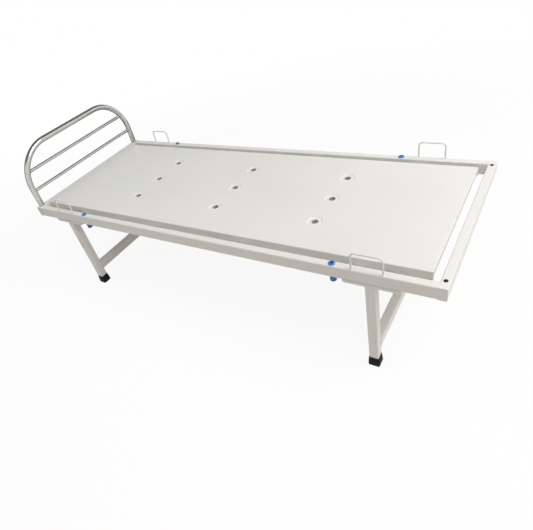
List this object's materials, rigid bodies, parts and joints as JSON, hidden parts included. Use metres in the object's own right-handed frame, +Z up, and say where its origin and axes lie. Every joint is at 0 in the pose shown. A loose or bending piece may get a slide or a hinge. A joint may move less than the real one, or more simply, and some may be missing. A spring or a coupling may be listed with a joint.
{
  "type": "attendant bed",
  "caption": "Low attendant's bed: sheet top with dished vent holes in a tube frame, braced square legs in rubber shoes, wire mattress retainers, pole sockets and a lift-out head bow with rungs.",
  "frame": {"origin": "on the floor under the middle of the bed", "axes": "+X from the head to the foot, +Y from the near side to the far side, +Z up"},
  "size_m": [1.83, 0.7074, 0.6847],
  "materials": {
    "enamel": "warm off-white baked enamel, half gloss",
    "bow_steel": "polished stainless steel",
    "shoe_rubber": "black moulded rubber",
    "socket_plastic": "blue moulded plastic",
    "bush_plastic": "grey moulded plastic",
    "plug_plastic": "black moulded plastic"
  },
  "bodies": {
    "frame": {"head_rail": "enamel", "foot_rail": "enamel", "side_rail_near": "enamel", "side_rail_far": "enamel", "deck_sheet": "enamel", "bearer_head": "enamel", "bearer_mid_head": "enamel", "bearer_mid_foot": "enamel", "bearer_foot": "enamel", "crossbar_head": "enamel", "crossbar_foot": "enamel", "leg_bar_near_head": "enamel", "leg_near_head": "enamel", "retainer_near_head": "enamel", "shoe_near_head": "shoe_rubber", "pole_socket_near_head": "socket_plastic", "leg_bar_near_foot": "enamel", "leg_near_foot": "enamel", "retainer_near_foot": "enamel", "shoe_near_foot": "shoe_rubber", "pole_socket_near_foot": "socket_plastic", "leg_bar_far_head": "enamel", "leg_far_head": "enamel", "retainer_far_head": "enamel", "shoe_far_head": "shoe_rubber", "pole_socket_far_head": "socket_plastic", "leg_bar_far_foot": "enamel", "leg_far_foot": "enamel", "retainer_far_foot": "enamel", "shoe_far_foot": "shoe_rubber", "pole_socket_far_foot": "socket_plastic", "bow_sockets": "enamel", "vent_bushes": "bush_plastic", "plug_near": "plug_plastic", "plug_far": "plug_plastic"},
    "bow": {"bow_tube": "bow_steel", "bow_rung_upper": "bow_steel", "bow_rung_lower": "bow_steel", "bow_spigots": "bow_steel"}
  },
  "joints": [
    {"name": "bow_lift", "type": "slide", "parent": "frame", "child": "bow", "axis": [0, 0, 1], "range_m": [0, 0.036]}
  ]
}
